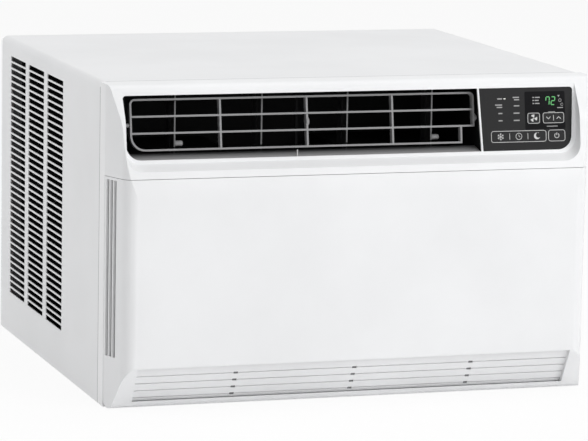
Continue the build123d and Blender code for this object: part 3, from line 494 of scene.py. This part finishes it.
def make_world():
    """Soft white light from all round, and a plain white backdrop for the rays that see it."""
    world = bpy.data.worlds.new("studio")
    world.use_nodes = True
    tree = world.node_tree
    soft = tree.nodes["Background"]
    soft.inputs["Color"].default_value = white
    soft.inputs["Strength"].default_value = world_strength
    plain = tree.nodes.new("ShaderNodeBackground")
    plain.inputs["Color"].default_value = white
    mix = tree.nodes.new("ShaderNodeMixShader")
    tree.links.new(plain_rays(tree), mix.inputs["Fac"])
    tree.links.new(soft.outputs["Background"], mix.inputs[1])
    tree.links.new(plain.outputs["Background"], mix.inputs[2])
    tree.links.new(mix.outputs["Shader"], tree.nodes["World Output"].inputs["Surface"])
    bpy.context.scene.world = world


def on_fascia(u, v, lift):
    up = Vector((0, math.sin(fascia_lean), math.cos(fascia_lean)))
    out = Vector((0, -math.cos(fascia_lean), math.sin(fascia_lean)))
    return (Vector((u, fascia_y, fascia_z)) + v * up + lift * out) * mm


def solid_mesh(name, points, faces, material, body):
    mesh = bpy.data.meshes.new(name)
    mesh.from_pydata([tuple(point) for point in points], [], [tuple(face) for face in faces])
    mesh.materials.append(material)
    piece = link(bpy.data.objects.new(name, mesh))
    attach(piece, body)
    return piece


def flat(name, loops, material, body="unit", lift=print_lift):
    """Thin print on the fascia from closed loops of (u, v) points."""
    points = []
    faces = []
    for loop in loops:
        start = len(points)
        points += [on_fascia(u, v, lift) for u, v in loop]
        faces.append(range(start, len(points)))
    return solid_mesh(name, points, faces, material, body)


def bar(left, foot, right, top):
    return [(left, foot), (right, foot), (right, top), (left, top)]


def stroke(first, second, thick):
    """Straight line of that thickness between two points."""
    along = Vector(second) - Vector(first)
    side = Vector((-along.y, along.x)).normalized() * thick / 2
    return [tuple(Vector(first) - side), tuple(Vector(second) - side),
            tuple(Vector(second) + side), tuple(Vector(first) + side)]


def arc_points(centre, radius, start, stop, steps):
    u, v = centre
    angles = [math.radians(start + (stop - start) * step / steps) for step in range(steps + 1)]
    return [(u + radius * math.cos(angle), v + radius * math.sin(angle)) for angle in angles]


def band(outer, inner):
    """Quads between two open or closed lines with the same number of points."""
    return [[outer[i], outer[i + 1], inner[i + 1], inner[i]] for i in range(len(outer) - 1)]


def arc(centre, radius, start, stop, thick, steps=20):
    return band(arc_points(centre, radius + thick / 2, start, stop, steps),
                arc_points(centre, radius - thick / 2, start, stop, steps))


def rounded(left, foot, right, top, radius):
    corners = ((right - radius, foot + radius, -90), (right - radius, top - radius, 0),
               (left + radius, top - radius, 90), (left + radius, foot + radius, 180))
    loop = []
    for u, v, start in corners:
        loop += arc_points((u, v), radius, start, start + 90, 6)
    return loop + loop[:1]


def frame_line(left, foot, right, top, radius, thick):
    return band(rounded(left, foot, right, top, radius),
                rounded(left + thick, foot + thick, right - thick, top - thick, radius - thick))


def key_area(name):
    """Left, foot, right and top of a key's face in the fascia plane, without its flange."""
    low, high = (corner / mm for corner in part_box(name))
    foot = (low.z - fascia_z) / math.cos(fascia_lean) + key_flange_foot
    top = (high.z - fascia_z) / math.cos(fascia_lean) - key_flange_top
    return low.x, foot, high.x, top


def middle_of(area):
    return (area[0] + area[2]) / 2, (area[1] + area[3]) / 2


def snowflake(centre, size, thick):
    """Three crossing strokes, with two barbs near each end."""
    loops = []
    for turn in range(0, 180, 60):
        ends = arc_points(centre, size, turn + 30, turn + 210, 1)
        loops.append(stroke(ends[0], ends[1], thick))
        for way in (turn + 30, turn + 210):
            root = arc_points(centre, size * 0.55, way, way, 1)[0]
            for lean in (-42, 42):
                tip = arc_points(root, size * 0.38, way + lean, way + lean, 1)[0]
                loops.append(stroke(root, tip, thick))
    return loops


def clock(centre, size, thick):
    """Ring with two hands."""
    u, v = centre
    long_hand = stroke(centre, (u, v + size * 0.62), thick)
    short_hand = stroke(centre, (u + size * 0.45, v - size * 0.2), thick)
    return arc(centre, size, 0, 360, thick) + [long_hand, short_hand]


def moon(centre, size):
    """Crescent between two arcs."""
    u, v = centre
    outer = arc_points(centre, size, 60, 330, 18)
    inner = arc_points((u + size * 0.42, v + size * 0.24), size * 0.78, 78, 312, 18)
    return band(outer, inner)


def fan_sign(centre, size):
    """Three curved blades round a small ring."""
    loops = arc(centre, size * 0.13, 0, 360, size * 0.14)
    for turn in (90, 210, 330):
        blade = arc_points(centre, size * 0.28, turn - 20, turn + 30, 3)
        blade += list(reversed(arc_points(centre, size, turn - 12, turn + 52, 6)))
        loops.append(blade)
    return loops


def power_sign(centre, size, thick):
    """Ring that is open at the top, with an upright stroke."""
    u, v = centre
    return arc(centre, size, 125, 415, thick) + [stroke((u, v + size * 0.15), (u, v + size * 1.25), thick)]


def chevron(centre, size, way, thick):
    """Arrow head that points up if way is 1 and down if it is -1."""
    u, v = centre
    rise = way * size / 2
    tip = (u, v + rise)
    return [stroke((u - size, v - rise), tip, thick), stroke(tip, (u + size, v - rise), thick)]


def digit(left, foot, wide, high, lit, thick):
    """Seven-segment figure; lit holds the letters of the segments that glow."""
    half_way = foot + high / 2
    right, top = left + wide, foot + high
    gap = thick * 0.35
    places = {
        "a": ((left + gap, top), (right - gap, top)),
        "b": ((right, half_way + gap), (right, top - gap)),
        "c": ((right, foot + gap), (right, half_way - gap)),
        "d": ((left + gap, foot), (right - gap, foot)),
        "e": ((left, foot + gap), (left, half_way - gap)),
        "f": ((left, half_way + gap), (left, top - gap)),
        "g": ((left + gap, half_way), (right - gap, half_way)),
    }
    slant = math.tan(figure_slant)
    loops = []
    for letter in lit:
        loops.append([(u + (v - foot) * slant, v) for u, v in stroke(*places[letter], thick)])
    return loops


def pierced_film(left, foot, right, top, radius, openings):
    """Rounded film with a row of openings for keys, as strips below, above and beside them."""
    loop = rounded(left, foot, right, top, radius)[:-1]
    quarter = len(loop) // 4
    row_foot = openings[0][1] - key_gap
    row_top = openings[0][3] + key_gap
    below = loop[3 * quarter:] + loop[:quarter] + [(right, row_foot), (left, row_foot)]
    above = [(left, row_top), (right, row_top)] + loop[quarter:3 * quarter]
    edges = [left]
    for opening in openings:
        edges += [opening[0] - key_gap, opening[2] + key_gap]
    edges.append(right)
    beside = [bar(first, row_foot, last, row_top) for first, last in zip(edges[::2], edges[1::2])]
    return [below, above] + beside


def key_frames(keys):
    """Lines round each group of keys, and dividers between the keys of a group."""
    groups = (
        ("mode", "sleep", low_frame_radius),
        ("power", "power", low_frame_radius),
        ("fan_speed", "fan_speed", high_frame_radius),
        ("temp_down", "temp_up", high_frame_radius),
    )
    reach = frame_thick + key_gap
    loops = []
    for first, last, radius in groups:
        left, foot = keys[first][:2]
        right, top = keys[last][2:]
        loops += frame_line(left - reach, foot - reach, right + reach, top + reach, radius, frame_thick)
    for first, last in (("mode", "timer"), ("timer", "sleep"), ("temp_down", "temp_up")):
        middle = (keys[first][2] + keys[last][0]) / 2
        foot, top = keys[first][1], keys[first][3]
        inset = (top - foot) * divider_inset
        loops.append(bar(middle - frame_thick / 2, foot + inset, middle + frame_thick / 2, top - inset))
    return loops


def key_signs(keys):
    """Pictogram of each key, at the middle of its face."""
    place = {name: (middle_of(area), sign_size[name]) for name, area in keys.items()}
    return {
        "mode": snowflake(*place["mode"], sign_thick),
        "timer": clock(*place["timer"], sign_thick),
        "sleep": moon(*place["sleep"]),
        "power": power_sign(*place["power"], power_thick),
        "fan_speed": fan_sign(*place["fan_speed"]),
        "temp_down": chevron(*place["temp_down"], -1, arrow_thick),
        "temp_up": chevron(*place["temp_up"], 1, arrow_thick),
    }


def display_figures():
    loops = []
    for left, lit in zip(figure_left, figure_lit):
        loops += digit(left, figure_foot, *figure_size, lit, figure_thick)
    return loops


def display_marks():
    """Rows of broken dashes left of the figures, and small signs right of them."""
    loops = []
    for row, length in enumerate(dash_lengths):
        foot = dash_foot + row * dash_step
        top = foot + dash_high
        first_end, second_start = (dash_left + length * share for share in dash_break)
        loops.append(bar(dash_left, foot, first_end, top))
        loops.append(bar(second_start, foot, dash_left + length, top))
    loops.append(pointer_corners)
    loops += arc(ring_centre, ring_radius, 0, 360, ring_thick)
    loops += arc(open_ring_centre, open_ring_radius, *open_ring_sweep, ring_thick)
    loops.append(bar(*mark_area))
    return loops


def lamp_prints():
    """Labels of one or two lines in two columns, and a lamp right of each label."""
    labels = []
    lamps = []
    for right, rows in lamp_columns:
        left = right + lamp_gap
        for row, lengths in enumerate(rows):
            middle = lamp_top - row * lamp_step
            highest = middle - label_height / 2 + (len(lengths) - 1) * label_height
            for number, length in enumerate(lengths):
                foot = highest - number * 2 * label_height
                labels.append(bar(right - length, foot, right, foot + label_height))
            lamps.append(bar(left, middle - lamp_height / 2, left + lamp_width, middle + lamp_height / 2))
    return labels, lamps


def dress_controls():
    """Key frames, signs, lamps and the lit figures of the control plate."""
    keys = {name: key_area("key_" + name) for name in sign_size}
    flat("key_frames", key_frames(keys), print_white, lift=upper_lift)
    for name, loops in key_signs(keys).items():
        flat("sign_" + name, loops, print_white, "key_" + name, key_proud + print_lift)
    openings = [keys[name] for name in display_keys]
    flat("display_window", pierced_film(*window_area, window_radius, openings), window_black)
    flat("display_figures", display_figures(), digit_green, lift=upper_lift)
    flat("display_marks", display_marks(), print_grey, lift=upper_lift)
    labels, lamps = lamp_prints()
    flat("lamp_labels", labels, print_grey)
    flat("lamp_lit", lamps[:1], lamp_white)
    flat("lamp_rest", lamps[1:], lamp_dark)
    flat("temp_label", [bar(*temp_label_area)], print_grey, lift=upper_lift)
    flat("temp_hint", [bar(*temp_hint_area)], print_grey, lift=upper_lift)


def ring_of(centre, radius, x):
    """Points of a circle about a line along X, in metres."""
    y, z = centre
    turns = [2 * math.pi * side / grip_sides for side in range(grip_sides)]
    return [Vector((x, y + radius * math.cos(turn), z + radius * math.sin(turn))) for turn in turns]


def ribbed_grip(name, centre, start, length, body):
    """Turned sleeve along X with raised rings and narrower closed ends; stations are shares of its length."""
    narrow = grip_core * 0.6
    step = 0.8 / grip_ridges
    stations = [(0, narrow), (0.06, grip_core)]
    for ridge in range(grip_ridges):
        at = 0.12 + ridge * step
        stations += [(at, grip_core), (at + 0.2 * step, grip_ridge)]
        stations += [(at + 0.6 * step, grip_ridge), (at + 0.8 * step, grip_core)]
    stations += [(0.95, grip_core), (1, narrow)]
    points = []
    for share, radius in stations:
        points += ring_of(centre, radius * mm, start + share * length)
    last_ring = len(points) - grip_sides
    faces = [range(grip_sides), range(last_ring, len(points))]
    for ring in range(0, last_ring, grip_sides):
        after_ring = ring + grip_sides
        for side in range(grip_sides):
            after = (side + 1) % grip_sides
            faces.append((ring + side, ring + after, after_ring + after, after_ring + side))
    mesh = solid_mesh(name, points, faces, knob_grey, body).data
    work = bmesh.new()
    work.from_mesh(mesh)
    bmesh.ops.recalc_face_normals(work, faces=work.faces)
    work.to_mesh(mesh)
    work.free()


def dress_knobs():
    """Ribbed grips over the two vane knobs."""
    for name in ("vane_1", "vane_4"):
        low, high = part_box(name)
        centre = (low.y + grip_back * mm, low.z + grip_up * mm)
        ribbed_grip("grip_" + name, centre, high.x - grip_reach * mm, grip_length * mm, name)


def six_sided(name, corners, material, body):
    """Piece from eight corners in millimetres that run through X, in each X through Y, and in each Y up Z."""
    points = [Vector(corner) * mm for corner in corners]
    faces = [(0, 1, 3, 2), (4, 6, 7, 5), (0, 4, 5, 1), (2, 3, 7, 6), (0, 2, 6, 4), (1, 5, 7, 3)]
    return solid_mesh(name, points, faces, material, body)


def dress_vanes():
    """Lighter grey nose along the front edge of each vane, as a painted highlight where the edge catches the
    light.
    """
    for number in range(1, 5):
        name = "vane_%d" % number
        low, high = (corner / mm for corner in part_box(name))
        middle = low.x + vane_pin
        x_span = (middle - nose_half, middle + nose_half)
        y_span = (low.y - nose_proud, low.y + nose_deep)
        z_span = (low.z + nose_foot, high.z - nose_top)
        corners = [(x, y, z) for x in x_span for y in y_span for z in z_span]
        six_sided("nose_" + name, corners, vane_edge, name)


def wedge(name, x_span, y_span, heights, material):
    """Ramp on the outlet's floor, with its height at each end of y_span."""
    corners = []
    for x in x_span:
        for y, height in zip(y_span, heights):
            corners += [(x, y, sill_floor), (x, y, sill_floor + height)]
    six_sided(name, corners, material, "unit")


def dress_outlet():
    """Ramp on the outlet's floor below the louver, grey with painted shade that darkens towards the back, and
    one raised rib.
    """
    wedge("sill_ramp", sill_x, sill_y, sill_heights, sill_painted_shade)
    rib_y = (sill_y[0], sill_y[0] + sill_rib_deep)
    wedge("sill_rib", sill_rib_x, rib_y, (sill_rib_height, sill_rib_height), print_white)


def dress_foot():
    """Upright ribs behind the face of the foot grille, which show in its notches; grey rather than the
    panel's white, as painted shade.
    """
    face_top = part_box("front_panel")[0].y / mm + grille_recess / math.sin(grille_slope)
    faces_y = [face_top + (grille_top - z) / math.tan(grille_slope) for z in rib_z]
    for number, middle in enumerate((-notch_reach, 0, notch_reach), 1):
        corners = []
        for x in (middle - rib_half, middle + rib_half):
            for depth in (rib_sink, rib_sink + rib_thick):
                corners += [(x, y + depth, z) for y, z in zip(faces_y, rib_z)]
        six_sided("foot_rib_%d" % number, corners, vane_edge, "front_panel")


make_camera()
make_lights()
make_floor()
make_world()
dress_cad()
dress_controls()
dress_knobs()
dress_vanes()
dress_outlet()
dress_foot()

bpy.context.scene.view_settings.view_transform = "Standard"
